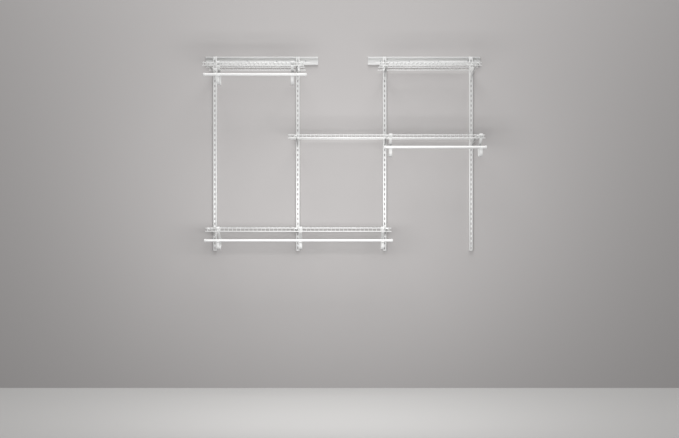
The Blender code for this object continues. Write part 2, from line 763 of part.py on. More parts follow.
def build():
    clear_scene()
    steel = material("white_powder_coat", POWDER_WHITE, 0.45, 0.0)
    plastic = material("moulded_white", MOULDED_WHITE, 0.5, 0.0)
    zinc = material("zinc_plated", ZINC_GREY, 0.35, 1.0)

    for side, centre in (("left", LEFT_RAIL_X), ("right", RIGHT_RAIL_X)):
        make_rail(f"hang_rail_{side}", centre, steel)
        for number, x in enumerate(rail_screw_xs(centre), 1):
            make_screw(f"rail_screw_{side}_{number}", x, -RAIL_SHEET, 0, zinc)

    for number, x in enumerate(UPRIGHT_XS, 1):
        make_upright(f"upright_{number}", x, steel)
        make_screw(f"upright_screw_{number}", x, WEB_FRONT, foot_screw_z(), zinc)

    for shelf in SHELVES:
        make_shelf(f"wire_shelf_{shelf.name}", shelf, steel)
        for carrier in shelf.carriers:
            make_bracket(f"bracket_{shelf.name}_{carrier + 1}", UPRIGHT_XS[carrier], shelf, steel)

    for rod in RODS:
        make_rod(f"hang_rod_{rod.name}", rod, steel)
        make_cap(f"rod_cap_{rod.name}_left", rod, rod.left, 1, plastic)
        make_cap(f"rod_cap_{rod.name}_right", rod, rod.right, -1, plastic)
        for number, x in enumerate(rod.hook_xs, 1):
            make_hook(f"rod_hook_{rod.name}_{number}", x, rod, plastic)


build()
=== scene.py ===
"""Looks for a wall mounted closet system: rails, slotted uprights, brackets, wire shelves and hang rods."""

import json
import math

import bmesh
import bpy
from bpy.props import FloatProperty, FloatVectorProperty, IntProperty, PointerProperty
from mathutils import Matrix, Vector

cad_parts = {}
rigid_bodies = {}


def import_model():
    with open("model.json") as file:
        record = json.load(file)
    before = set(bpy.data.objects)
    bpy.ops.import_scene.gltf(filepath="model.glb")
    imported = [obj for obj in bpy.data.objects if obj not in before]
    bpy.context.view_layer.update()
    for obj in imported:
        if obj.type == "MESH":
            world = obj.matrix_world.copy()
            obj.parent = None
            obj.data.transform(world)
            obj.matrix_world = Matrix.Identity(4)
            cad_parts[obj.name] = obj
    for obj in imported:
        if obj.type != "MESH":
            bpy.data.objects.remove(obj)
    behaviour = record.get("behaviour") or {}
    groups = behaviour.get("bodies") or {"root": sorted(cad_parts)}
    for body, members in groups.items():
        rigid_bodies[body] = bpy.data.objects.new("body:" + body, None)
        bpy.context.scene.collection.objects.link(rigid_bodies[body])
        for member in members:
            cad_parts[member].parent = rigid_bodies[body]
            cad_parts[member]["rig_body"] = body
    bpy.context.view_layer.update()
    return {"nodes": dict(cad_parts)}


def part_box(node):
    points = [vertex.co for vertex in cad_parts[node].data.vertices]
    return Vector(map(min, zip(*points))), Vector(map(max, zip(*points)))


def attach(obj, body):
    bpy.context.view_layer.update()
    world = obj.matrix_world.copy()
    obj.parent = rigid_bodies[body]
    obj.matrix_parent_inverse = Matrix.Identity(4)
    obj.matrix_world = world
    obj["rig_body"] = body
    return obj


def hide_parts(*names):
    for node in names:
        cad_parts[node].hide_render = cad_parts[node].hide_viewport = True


bl_info = {
    "name": "Closet System",
    "version": (1, 0, 0),
    "blender": (4, 5, 0),
    "location": "View3D > Sidebar > Closet",
    "description": "Builds the finished pieces of a wall mounted closet system around its solids",
    "category": "Add Mesh",
}

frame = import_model()

RIGHT = Vector((1, 0, 0))
INWARDS = Vector((0, 1, 0))
UP = Vector((0, 0, 1))
# Clearance between pieces, how far a cutter reaches past what it cuts, and how near counts as in line
FIT_GAP = 0.0003
OVERRUN = 0.002
NEAR = 0.0001
# Edges less sharp than the first are shaded smooth, and edges sharper than the second are eased
SMOOTH_BELOW = math.radians(35)
EASE_ABOVE = math.radians(40)


def node_box(prefix):
    """The box of the first solid whose name starts so."""
    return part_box(sorted(name for name in frame["nodes"] if name.startswith(prefix))[0])


RAIL_LOW, RAIL_HIGH = node_box("hang_rail_")
UPRIGHT_LOW, UPRIGHT_HIGH = node_box("upright_1")
ROD_LOW, ROD_HIGH = node_box("hang_rod_")


def length(name, default, description):
    """A length that a user may change."""
    return FloatProperty(
        name=name, description=description, default=default, min=0.0, subtype="DISTANCE", unit="LENGTH"
    )


def colour(name, default, description):
    """A colour that a user may change."""
    return FloatVectorProperty(
        name=name, description=description, default=default, size=4, min=0.0, max=1.0, subtype="COLOR"
    )


class ClosetSizes(bpy.types.PropertyGroup):
    """Sizes of the closet system's pieces."""

    sheet: length("Sheet", 0.0015, "Thickness of the rails' and uprights' steel")
    rail_depth: length("Rail depth", RAIL_HIGH.y - RAIL_LOW.y, "How far a hang rail stands off the wall")
    rail_height: length("Rail height", RAIL_HIGH.z - RAIL_LOW.z, "Height of a hang rail")
    rail_lip: length("Rail lip", 0.0095, "Height of a rail's folded lips")
    rail_fold: length("Rail fold", 0.0022, "Outer radius of a rail's folds")
    upright_width: length("Upright width", 0.026, "Width of an upright's face")
    upright_depth: length("Upright depth", UPRIGHT_HIGH.y - UPRIGHT_LOW.y, "Depth of an upright")
    upright_fold: length("Upright fold", 0.0046, "Outer radius of an upright's folds")
    slot_width: length("Slot width", 0.006, "Width of an upright's slots")
    slot_height: length("Slot height", 0.016, "Height of an upright's slots")
    slot_pitch: length("Slot pitch", 0.032, "Distance from one slot to the next")
    first_slot: length("First slot", 0.031, "Distance from an upright's top to its first slot")
    wire_radius: length("Wire radius", 0.0014, "Radius of the shelves' deck wires")
    wire_pitch: length("Wire pitch", 0.0254, "Distance from one deck wire to the next")
    wire_bend: length("Wire bend", 0.0042, "Radius of the bend over the shelf's lip")
    bar_radius: length("Bar radius", 0.003, "Radius of the shelves' long bars")
    lip_height: length("Lip height", 0.028, "Height of a shelf's front, from deck to lip bar's foot")
    lip_setback: length("Lip setback", 0.012, "Distance from a shelf's lip bar back to its front bar")
    bracket_sheet: length("Bracket sheet", 0.0016, "Thickness of the brackets' steel")
    bracket_tip: length("Bracket tip height", 0.009, "Height of a bracket at its tip")
    deep_run: length("Bracket deep run", 0.165, "Length over which a bracket deepens to its heel")
    bracket_width: length("Bracket width", 0.014, "Width of a bracket at its tip")
    bracket_heel: length("Bracket heel", 0.004, "Thickness of a bracket's closed heel")
    heel_length: length("Heel length", 0.012, "Length of a bracket's closed heel")
    hook_width: length("Hook width", 0.017, "Width of a rod hook's strap")
    hook_thickness: length("Hook thickness", 0.0045, "Thickness of a rod hook's strap")
    clip_width: length("Clip width", 0.020, "Width of a rod hook's clip")
    crown: length("Clip crown", 0.0065, "Thickness of a rod hook's clip over the bar")
    hook_corner: length("Hook corner", 0.022, "Radius of a rod hook's lower corners")
    rod_radius: length("Rod radius", (ROD_HIGH.y - ROD_LOW.y) / 2, "Radius of the hang rods")
    rod_wall: length("Rod wall", 0.001, "Thickness of the hang rods' tube")
    cap_radius: length("Cap radius", 0.011, "Radius of the rods' end caps")
    screw_head: length("Screw head", 0.004, "Radius of the screws' heads")
    screw_shank: length("Screw shank", 0.0021, "Radius of the screws' shanks")
    wire_sides: IntProperty(name="Wire sides", description="Sides of a deck wire", default=8, min=4, max=16)


class ClosetColours(bpy.types.PropertyGroup):
    """Colours of the closet system's pieces and of the stage."""

    coat: colour("Powder coat", (0.86, 0.86, 0.85, 1), "White coat of the steel pieces")
    moulded: colour("Moulded plastic", (0.84, 0.84, 0.83, 1), "White of the rod hooks and caps")
    zinc: colour("Zinc", (0.62, 0.63, 0.65, 1), "Plating of the screws")
    wall: colour("Wall", (0.555, 0.535, 0.53, 1), "Backdrop behind the closet system")
    floor: colour("Floor", (0.64, 0.63, 0.62, 1), "Floor in front of the backdrop")
    beyond: colour("Beyond", (0.62, 0.61, 0.605, 1), "What shows past the backdrop and the floor")


# Modelling helpers


def outline(points, corners=None, radius=0.0, segments=3):
    """A bmesh with one flat face, some of its corners rounded."""
    shape = bmesh.new()
    made = [shape.verts.new(point) for point in points]
    shape.faces.new(made)
    if radius:
        chosen = made if corners is None else [made[index] for index in corners]
        round_corners(shape, chosen, radius, segments)
    return shape


def round_corners(shape, corners, radius, segments):
    bmesh.ops.bevel(
        shape,
        geom=corners,
        offset=radius,
        offset_type="OFFSET",
        segments=segments,
        profile=0.5,
        affect="VERTICES",
        material=-1,
    )


def only_face(shape):
    shape.faces.ensure_lookup_table()
    return shape.faces[0]


def pull(shape, face, vector):
    """Extrude a face and return the moved one. With its edges given, no face stays behind inside."""
    made = bmesh.ops.extrude_face_region(shape, geom=[face, *face.edges])["geom"]
    moved = [item for item in made if isinstance(item, bmesh.types.BMVert)]
    bmesh.ops.translate(shape, verts=moved, vec=vector)
    return next(item for item in made if isinstance(item, bmesh.types.BMFace))


def swing(shape, face, centre, angle, steps):
    """Sweep a face round a line along the wall and return the last one. No face stays behind inside."""
    made = bmesh.ops.spin(
        shape,
        geom=[face, *face.edges],
        cent=centre,
        axis=RIGHT,
        angle=angle,
        steps=steps,
        use_merge=False,
        use_duplicate=False,
    )["geom_last"]
    return next(item for item in made if isinstance(item, bmesh.types.BMFace))


def turned(origin, axis, profile, sides):
    """A bmesh turned about a level axis from a profile of (distance along the axis, radius)."""
    shape = bmesh.new()
    line = [shape.verts.new(origin + axis * along + UP * radius) for along, radius in profile]
    edges = [shape.edges.new(pair) for pair in zip(line, line[1:])]
    bmesh.ops.spin(
        shape, geom=line + edges, cent=origin, axis=axis, angle=2 * math.pi, steps=sides, use_merge=True
    )
    bmesh.ops.remove_doubles(shape, verts=shape.verts, dist=0.00001)
    return shape


def quarter(along, out, steps):
    """Points of (distance along, radius lost) round the corner from a flat end to a straight side."""
    angles = [step * math.pi / 2 / steps for step in range(steps + 1)]
    return [(along * (1 - math.cos(angle)), out * (1 - math.sin(angle))) for angle in angles]


def append(shape, mesh, offset):
    """Add a copy of a mesh to a bmesh, moved by an offset."""
    moved = mesh.copy()
    moved.transform(Matrix.Translation(offset))
    shape.from_mesh(moved)
    bpy.data.meshes.remove(moved)


def mesh_from(shape, name):
    """Use a bmesh up for a mesh whose faces point outwards."""
    bmesh.ops.recalc_face_normals(shape, faces=shape.faces)
    mesh = bpy.data.meshes.new(name)
    shape.to_mesh(mesh)
    shape.free()
    return mesh


def scene_object(mesh, name):
    made = bpy.data.objects.new(name, mesh)
    bpy.context.collection.objects.link(made)
    return made


def settle(target):
    """Apply what modifiers the target has."""
    bpy.context.view_layer.update()
    graph = bpy.context.evaluated_depsgraph_get()
    result = bpy.data.meshes.new_from_object(target.evaluated_get(graph))
    target.modifiers.clear()
    target.data = result


def combine(target, shape, operation):
    """Cut or join a bmesh into the target."""
    tool = scene_object(mesh_from(shape, "tool"), "tool")
    modifier = target.modifiers.new(operation.title(), "BOOLEAN")
    modifier.operation = operation
    modifier.solver = "EXACT"
    modifier.object = tool
    settle(target)
    bpy.data.objects.remove(tool, do_unlink=True)


def ease_edges(target, width, segments=2):
    """Round the target's sharp edges a little."""
    modifier = target.modifiers.new("Ease", "BEVEL")
    modifier.width = width
    modifier.segments = segments
    modifier.limit_method = "ANGLE"
    modifier.angle_limit = EASE_ABOVE
    modifier.use_clamp_overlap = True
    settle(target)


def finish_piece(made, node, material):
    """Give a piece its finish, and put it in its solid's place."""
    made.data.materials.clear()
    made.data.materials.append(material)
    made.data.shade_smooth()
    made.data.set_sharp_from_angle(angle=SMOOTH_BELOW)
    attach(made, frame["nodes"][node]["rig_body"])
    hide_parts(node)


def solids(prefix):
    return sorted(name for name in frame["nodes"] if name.startswith(prefix))


def middle_x(node):
    low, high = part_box(node)
    return (low.x + high.x) / 2


# Finishes

# The cloudiness of a finish's colour, and the fine skin that its gloss and bump come from
CLOUD_SCALE = 7.0
CLOUD_DETAIL = 4.0
CLOUD_LOW = 0.3
CLOUD_HIGH = 0.7
SKIN_DETAIL = 2.0
SKIN_DEPTH = 0.0002
GLOSS_CHANGE = 0.06


def shader_of(material):
    return material.node_tree.nodes["Principled BSDF"]


def speckled(name, tint, spread, roughness, grain, bump):
    """A finish with a faint cloudiness, uneven gloss and a fine skin."""
    material = bpy.data.materials.get(name)
    if material:
        return material
    material = bpy.data.materials.new(name)
    material.use_nodes = True
    tree = material.node_tree
    shader = shader_of(material)
    place = tree.nodes.new("ShaderNodeTexCoord")

    cloud = tree.nodes.new("ShaderNodeTexNoise")
    cloud.inputs["Scale"].default_value = CLOUD_SCALE
    cloud.inputs["Detail"].default_value = CLOUD_DETAIL
    tree.links.new(place.outputs["Object"], cloud.inputs["Vector"])
    tones = tree.nodes.new("ShaderNodeValToRGB")
    tones.color_ramp.elements[0].position = CLOUD_LOW
    tones.color_ramp.elements[1].position = CLOUD_HIGH
    tones.color_ramp.elements[0].color = [*(channel * (1 - spread) for channel in tint[:3]), 1]
    tones.color_ramp.elements[1].color = [*(min(1, channel * (1 + spread)) for channel in tint[:3]), 1]
    tree.links.new(cloud.outputs["Fac"], tones.inputs["Fac"])
    tree.links.new(tones.outputs["Color"], shader.inputs["Base Color"])

    skin = tree.nodes.new("ShaderNodeTexNoise")
    skin.inputs["Scale"].default_value = grain
    skin.inputs["Detail"].default_value = SKIN_DETAIL
    tree.links.new(place.outputs["Object"], skin.inputs["Vector"])
    gloss = tree.nodes.new("ShaderNodeMapRange")
    gloss.inputs["To Min"].default_value = roughness - GLOSS_CHANGE
    gloss.inputs["To Max"].default_value = roughness + GLOSS_CHANGE
    tree.links.new(skin.outputs["Fac"], gloss.inputs["Value"])
    tree.links.new(gloss.outputs["Result"], shader.inputs["Roughness"])
    relief = tree.nodes.new("ShaderNodeBump")
    relief.inputs["Strength"].default_value = bump
    relief.inputs["Distance"].default_value = SKIN_DEPTH
    tree.links.new(skin.outputs["Fac"], relief.inputs["Height"])
    tree.links.new(relief.outputs["Normal"], shader.inputs["Normal"])
    return material


def powder_coat():
    tint = colours().coat
    return speckled("white_powder_coat", tint, spread=0.012, roughness=0.42, grain=1400.0, bump=0.25)


def moulded_plastic():
    tint = colours().moulded
    return speckled("moulded_white", tint, spread=0.010, roughness=0.36, grain=700.0, bump=0.12)


def zinc_plate():
    tint = colours().zinc
    material = speckled("zinc_plated", tint, spread=0.06, roughness=0.34, grain=900.0, bump=0.2)
    shader_of(material).inputs["Metallic"].default_value = 1.0
    return material


def seen_from_front(name, tint, roughness):
    """A stage finish that shows from its front only, and lets soft light through to the object's back."""
    material = bpy.data.materials.new(name)
    material.use_nodes = True
    tree = material.node_tree
    shader = shader_of(material)
    shader.inputs["Base Color"].default_value = tint
    shader.inputs["Roughness"].default_value = roughness
    side = tree.nodes.new("ShaderNodeNewGeometry")
    rays = tree.nodes.new("ShaderNodeLightPath")
    soft = tree.nodes.new("ShaderNodeMath")
    soft.operation = "MAXIMUM"
    tree.links.new(rays.outputs["Is Diffuse Ray"], soft.inputs[0])
    tree.links.new(rays.outputs["Is Shadow Ray"], soft.inputs[1])
    unseen = tree.nodes.new("ShaderNodeMath")
    unseen.operation = "MAXIMUM"
    tree.links.new(side.outputs["Backfacing"], unseen.inputs[0])
    tree.links.new(soft.outputs["Value"], unseen.inputs[1])
    clear = tree.nodes.new("ShaderNodeBsdfTransparent")
    either = tree.nodes.new("ShaderNodeMixShader")
    tree.links.new(unseen.outputs["Value"], either.inputs["Fac"])
    tree.links.new(shader.outputs["BSDF"], either.inputs[1])
    tree.links.new(clear.outputs["BSDF"], either.inputs[2])
    tree.links.new(either.outputs["Shader"], tree.nodes["Material Output"].inputs["Surface"])
    return material


def sizes():
    return bpy.context.scene.closet_sizes


def colours():
    return bpy.context.scene.closet_colours


# Rails and uprights

SHEET_EASE = 0.00025
HOLE_SIDES = 20
# The hook that an upright's legs keep behind the rail's lip: its thickness, its drop and its arm's height
LEG_HOOK = 0.004
LEG_HOOK_DROP = 0.006
LEG_ARM = 0.012


def side_points(x, points):
    """Outline points given as (y, z), on a plane across the wall."""
    return [(x, y, z) for y, z in points]


def rail_shape(left, right, centre):
    """A channel with its web on the wall and a lip at the top and at the bottom."""
    size = sizes()
    half = size.rail_height / 2
    front = -size.rail_depth
    sheet = size.sheet
    lip = size.rail_lip
    points = [
        (0, -half),
        (front, -half),
        (front, -half + lip),
        (front + sheet, -half + lip),
        (front + sheet, -half + sheet),
        (-sheet, -half + sheet),
        (-sheet, half - sheet),
        (front + sheet, half - sheet),
        (front + sheet, half - lip),
        (front, half - lip),
        (front, half),
        (0, half),
    ]
    shape = outline(side_points(left, [(y, centre + z) for y, z in points]))
    corners = list(shape.verts)
    outer_folds = [corners[index] for index in (0, 1, 10, 11)]
    round_corners(shape, outer_folds, size.rail_fold, segments=5)
    inner_points = points[4:8]
    inner_folds = [vert for vert in corners if vert.is_valid and is_near(vert.co, inner_points, centre)]
    round_corners(shape, inner_folds, size.rail_fold - sheet, segments=3)
    pull(shape, only_face(shape), RIGHT * (right - left))
    return shape


def is_near(place, points, centre):
    """Whether a place stands at one of the (y, z) points, whose heights count from a rail's centre."""
    return any(abs(place.y - y) < NEAR and abs(place.z - centre - z) < NEAR for y, z in points)


def hole_cutter(places, near, far, radius):
    """Round cutters through a sheet, one for each (x, z) place."""
    shape = bmesh.new()
    for x, z in places:
        matrix = Matrix.Translation((x, near - OVERRUN, z)) @ Matrix.Rotation(math.pi / 2, 4, "X")
        ring = bmesh.ops.create_circle(
            shape, cap_ends=True, segments=HOLE_SIDES, radius=radius, matrix=matrix
        )
        pull(shape, ring["verts"][0].link_faces[0], INWARDS * (far - near + 2 * OVERRUN))
    return shape


def build_rail(node):
    """A folded rail with a hole for each of its screws."""
    size = sizes()
    low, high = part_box(node)
    side = node.removeprefix("hang_rail_")
    centre = (low.z + high.z) / 2
    made = scene_object(mesh_from(rail_shape(low.x, high.x, centre), node), f"folded_rail_{side}")
    places = [(middle_x(screw), centre) for screw in solids(f"rail_screw_{side}")]
    combine(made, hole_cutter(places, -size.sheet, 0, size.screw_shank + FIT_GAP), "DIFFERENCE")
    ease_edges(made, SHEET_EASE)
    finish_piece(made, node, powder_coat())


def slot_cutter(x, top, count):
    """Cutters for the slots of an upright, from the top one down."""
    size = sizes()
    half_width = size.slot_width / 2
    half_height = size.slot_height / 2
    near = -size.upright_depth - OVERRUN
    corners = [
        (x - half_width, near, -half_height),
        (x + half_width, near, -half_height),
        (x + half_width, near, half_height),
        (x - half_width, near, half_height),
    ]
    slot = outline(corners, radius=size.slot_width / 4, segments=3)
    pull(slot, only_face(slot), INWARDS * (size.sheet + 2 * OVERRUN))
    cutter = mesh_from(slot, "slot")
    shape = bmesh.new()
    for index in range(count):
        append(shape, cutter, UP * (top - size.first_slot - index * size.slot_pitch))
    return shape


def rail_notch(x, top):
    """What an upright's legs lose at the rail, leaving hooks that drop behind its lower lip."""
    size = sizes()
    low = top - size.rail_height - FIT_GAP
    front = -size.rail_depth - FIT_GAP
    lip_edge = top - size.rail_height + size.rail_lip + FIT_GAP
    hook_front = -size.rail_depth + size.sheet + FIT_GAP
    hook_back = hook_front + LEG_HOOK
    hook_foot = lip_edge - LEG_HOOK_DROP
    arm_top = lip_edge + LEG_ARM
    points = [
        (OVERRUN, low),
        (front, low),
        (front, lip_edge),
        (hook_front, lip_edge),
        (hook_front, hook_foot),
        (hook_back, hook_foot),
        (hook_back, arm_top),
        (front, arm_top),
        (front, top + OVERRUN),
        (OVERRUN, top + OVERRUN),
    ]
    start = x - size.upright_width / 2 - OVERRUN
    shape = outline(side_points(start, points))
    pull(shape, only_face(shape), RIGHT * (size.upright_width + 2 * OVERRUN))
    return shape


def build_upright(node):
    """A folded channel with slots down its face, notched at the rail, and a screw hole near its foot."""
    size = sizes()
    low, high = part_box(node)
    x = (low.x + high.x) / 2
    half = size.upright_width / 2
    front = -size.upright_depth
    sheet = size.sheet
    outer = [(x - half, 0, low.z), (x - half, front, low.z), (x + half, front, low.z), (x + half, 0, low.z)]
    inner = [
        (x + half - sheet, 0, low.z),
        (x + half - sheet, front + sheet, low.z),
        (x - half + sheet, front + sheet, low.z),
        (x - half + sheet, 0, low.z),
    ]
    shape = outline(outer + inner)
    corners = list(shape.verts)
    round_corners(shape, corners[1:3], size.upright_fold, segments=6)
    inner_folds = [vert for vert in corners if vert.is_valid and abs(vert.co.y - front - sheet) < NEAR]
    round_corners(shape, inner_folds, size.upright_fold - sheet, segments=5)
    pull(shape, only_face(shape), UP * (high.z - low.z))
    made = scene_object(mesh_from(shape, node), node.replace("upright", "slotted_upright"))
    count = 1 + math.floor((high.z - low.z - size.first_slot - size.slot_height / 2) / size.slot_pitch)
    lowest_slot = high.z - size.first_slot - (count - 1) * size.slot_pitch
    screw_place = (x, lowest_slot + size.slot_pitch / 2)
    combine(made, rail_notch(x, high.z), "DIFFERENCE")
    combine(made, slot_cutter(x, high.z, count), "DIFFERENCE")
    screw_hole = hole_cutter([screw_place], front, front + sheet, size.screw_shank + FIT_GAP)
    combine(made, screw_hole, "DIFFERENCE")
    ease_edges(made, SHEET_EASE)
    finish_piece(made, node, powder_coat())


# Screws

SCREW_SIDES = 24
# A head's rounded crown, as shares of the head's height and radius
CROWN_HEIGHT = 0.62
CROWN_WIDTH = 0.5
CROWN_STEPS = 3
# The block that cuts each arm of a head's cross recess, as shares of the head's radius, height and radius
RECESS_SPAN = 1.1
RECESS_DEPTH = 1.1
RECESS_WIDTH = 0.2
# The ridges: their pitch, where the first may start, and their root, crest and end as shares
RIDGE_PITCH = 0.0018
FIRST_RIDGE = 0.001
RIDGE_ROOT = 0.72
RIDGE_CREST = 0.25
RIDGE_END = 0.45
POINT_RADIUS = 0.6


def build_screw(node):
    """A pan head with a cross recess, and a ridged shank."""
    size = sizes()
    low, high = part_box(node)
    centre = Vector(((low.x + high.x) / 2, 0, (low.z + high.z) / 2))
    seat = -size.sheet if node.startswith("rail") else -size.upright_depth
    seat -= FIT_GAP
    head = size.screw_head
    head_height = seat - low.y
    shank = size.screw_shank
    root = shank * RIDGE_ROOT
    crown = quarter(head_height * CROWN_HEIGHT, head * CROWN_WIDTH, CROWN_STEPS)
    profile = [(low.y, 0)]
    profile += [(low.y + along, head - lost) for along, lost in crown]
    profile += [(seat, head), (seat, root)]
    ridge = max(seat + RIDGE_PITCH, FIRST_RIDGE)
    while ridge < high.y - 3 * RIDGE_PITCH:
        crest = ridge + RIDGE_PITCH * RIDGE_CREST
        end = ridge + RIDGE_PITCH * RIDGE_END
        profile += [(ridge, root), (crest, shank), (end, root)]
        ridge += RIDGE_PITCH
    profile += [(high.y - 2 * RIDGE_PITCH, shank * POINT_RADIUS), (high.y, 0)]
    shape = turned(centre, INWARDS, profile, SCREW_SIDES)
    made = scene_object(mesh_from(shape, node), node.replace("screw", "pan_screw"))
    block = Matrix.Diagonal((head * RECESS_SPAN, head_height * RECESS_DEPTH, head * RECESS_WIDTH, 1))
    for angle in (0, math.pi / 2):
        recess = bmesh.new()
        turn = Matrix.Translation((centre.x, low.y, centre.z)) @ Matrix.Rotation(angle, 4, "Y")
        bmesh.ops.create_cube(recess, size=1, matrix=turn @ block)
        combine(made, recess, "DIFFERENCE")
    finish_piece(made, node, zinc_plate())


# Brackets

BRACKET_EASE = 0.0003
# The radius of a bracket's folds, as a share of its sheet
FOLD_SHARE = 0.9
NOSE_ROUND = 0.0016
# The hooks of a bracket's heel: how many, where the first lies under the top, and the size of each
HOOK_COUNT = 2
HOOK_START = 0.010
HOOK_HEIGHT = 0.010
CATCH_DROP = 0.005
CATCH_SHEET = 0.003
CATCH_ROUND = 0.0012


def bracket_blank(x, tip, weld, heel, top, tip_bottom, heel_bottom, half_tip, half_heel, fold):
    """A wedge that deepens and narrows towards its heel, its two long upper edges rounded as a fold is."""
    knee = heel - sizes().deep_run
    points = [(tip, top), (heel, top), (heel, heel_bottom), (knee, tip_bottom), (tip, tip_bottom)]
    shape = outline(side_points(x - half_tip, points))
    pull(shape, only_face(shape), RIGHT * (2 * half_tip))
    for place in (knee, weld):
        everything = [*shape.verts, *shape.edges, *shape.faces]
        bmesh.ops.bisect_plane(shape, geom=everything, plane_co=(x, place, top), plane_no=INWARDS)
    for place in (knee, weld, heel):
        share = min(1, (place - tip) / (weld - tip))
        ratio = 1 - share * (1 - half_heel / half_tip)
        ring = [vert for vert in shape.verts if abs(vert.co.y - place) < NEAR]
        bmesh.ops.scale(shape, vec=(ratio, 1, 1), space=Matrix.Translation((-x, 0, 0)), verts=ring)
    folds = [
        edge
        for edge in shape.edges
        if all(abs(vert.co.z - top) < NEAR for vert in edge.verts)
        and abs(edge.verts[0].co.y - edge.verts[1].co.y) > NEAR
    ]
    bmesh.ops.bevel(
        shape,
        geom=folds,
        offset=fold,
        offset_type="OFFSET",
        segments=4,
        profile=0.5,
        affect="EDGES",
        material=-1,
        clamp_overlap=True,
    )
    return shape


def bracket_hook(x, root, rest, half):
    """One hook of a bracket's heel, through its slot and down behind the web."""
    size = sizes()
    behind = -size.upright_depth + size.sheet + FIT_GAP
    arm_top = rest + HOOK_HEIGHT - size.bracket_sheet
    points = [
        (root, rest),
        (behind, rest),
        (behind, rest - CATCH_DROP),
        (behind + CATCH_SHEET, rest - CATCH_DROP),
        (behind + CATCH_SHEET, rest + HOOK_HEIGHT / 2),
        (behind, arm_top),
        (root, arm_top),
    ]
    shape = outline(side_points(x - half, points), corners=(3, 4, 5), radius=CATCH_ROUND, segments=3)
    pull(shape, only_face(shape), RIGHT * (2 * half))
    return shape


def build_bracket(node):
    """A folded bracket, open below, with hooks at its heel and a raised nose at its tip."""
    size = sizes()
    low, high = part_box(node)
    x = (low.x + high.x) / 2
    sheet = size.bracket_sheet
    deck = high.z + 2 * size.wire_radius + FIT_GAP
    top = bar_height(deck) - size.bar_radius - FIT_GAP
    heel = -size.upright_depth - FIT_GAP
    weld = heel - size.heel_length
    half_tip = size.bracket_width / 2
    half_heel = size.bracket_heel / 2
    tip_bottom = top - size.bracket_tip
    fold = sheet * FOLD_SHARE
    blank = bracket_blank(x, low.y, weld, heel, top, tip_bottom, low.z, half_tip, half_heel, fold)
    made = scene_object(mesh_from(blank, node), node.replace("bracket", "folded_bracket"))

    inner_top = top - sheet
    taper = (half_tip - half_heel) / (weld - low.y)
    front = low.y - OVERRUN
    front_half = half_tip + taper * OVERRUN - sheet
    weld_half = half_heel - sheet
    points = [(front, inner_top), (weld, inner_top), (weld, low.z - OVERRUN), (front, low.z - OVERRUN)]
    hollow = outline(side_points(x - front_half, points))
    pull(hollow, only_face(hollow), RIGHT * (2 * front_half))
    narrow = [vert for vert in hollow.verts if vert.co.y > weld - NEAR]
    bmesh.ops.scale(
        hollow, vec=(weld_half / front_half, 1, 1), space=Matrix.Translation((-x, 0, 0)), verts=narrow
    )
    combine(made, hollow, "DIFFERENCE")

    root = heel - 2 * sheet
    for step in range(HOOK_COUNT):
        rest = top - HOOK_START - step * size.slot_pitch
        combine(made, bracket_hook(x, root, rest, half_heel - FIT_GAP), "UNION")
    nose_half = half_tip - sheet
    nose_points = [
        (x - nose_half, low.y, top - sheet / 2),
        (x + nose_half, low.y, top - sheet / 2),
        (x + nose_half, low.y, high.z),
        (x - nose_half, low.y, high.z),
    ]
    nose = outline(nose_points, corners=(2, 3), radius=NOSE_ROUND, segments=3)
    pull(nose, only_face(nose), INWARDS * sheet)
    combine(made, nose, "UNION")
    ease_edges(made, BRACKET_EASE)
    finish_piece(made, node, powder_coat())


# Wire shelves

BAR_SIDES = 20
# Steps round a wire's bend, and round the smaller bends of a rod hook's strap
BEND_STEPS = 4
# How deep a deck wire is welded into the bars, and how far it reaches past the back bar
WELD_SINK = 0.0005
BACK_REACH = 0.002
# Where the middle bar lies between the front bar and the back bar
MIDDLE_SHARE = 0.6
# The eased back end of a deck wire, as shares of its radius
END_RADIUS = 0.7
END_LENGTH = 0.3


def bar_height(deck):
    """Height of the centre of the bars that lie under a deck."""
    size = sizes()
    return deck - 2 * size.wire_radius + WELD_SINK - size.bar_radius


def long_bar(shape, left, right, y, z, radius):
    """A round bar along the shelf, with eased ends."""
    matrix = Matrix.Translation(((left + right) / 2, y, z)) @ Matrix.Rotation(math.pi / 2, 4, "Y")
    made = bmesh.ops.create_cone(
        shape,
        cap_ends=True,
        segments=BAR_SIDES,
        radius1=radius,
        radius2=radius,
        depth=right - left,
        matrix=matrix,
    )
    corners = set(made["verts"])
    rims = [
        edge
        for edge in shape.edges
        if edge.verts[0] in corners and abs(edge.verts[0].co.x - edge.verts[1].co.x) < NEAR
    ]
    bmesh.ops.bevel(
        shape,
        geom=rims,
        offset=radius / 4,
        offset_type="OFFSET",
        segments=2,
        profile=0.5,
        affect="EDGES",
        material=-1,
    )


def deck_wire(back, lip_y, centre, lip_bar):
    """One wire at x = 0: over the deck, round the front bend and down to the lip bar."""
    size = sizes()
    end_radius = size.wire_radius * END_RADIUS
    end_length = size.wire_radius * END_LENGTH
    bend = size.wire_bend
    shape = bmesh.new()
    matrix = Matrix.Translation((0, back, centre)) @ Matrix.Rotation(math.pi / 2, 4, "X")
    bmesh.ops.create_circle(
        shape, cap_ends=True, segments=size.wire_sides, radius=end_radius, matrix=matrix
    )
    face = pull(shape, only_face(shape), -INWARDS * end_length)
    widen = (1 / END_RADIUS, 1, 1 / END_RADIUS)
    bmesh.ops.scale(shape, vec=widen, space=Matrix.Translation((0, 0, -centre)), verts=face.verts)
    face = pull(shape, face, -INWARDS * (back - end_length - lip_y - bend))
    face = swing(shape, face, (0, lip_y + bend, centre - bend), math.pi / 2, BEND_STEPS)
    pull(shape, face, -UP * (centre - bend - lip_bar))
    return mesh_from(shape, "deck_wire")


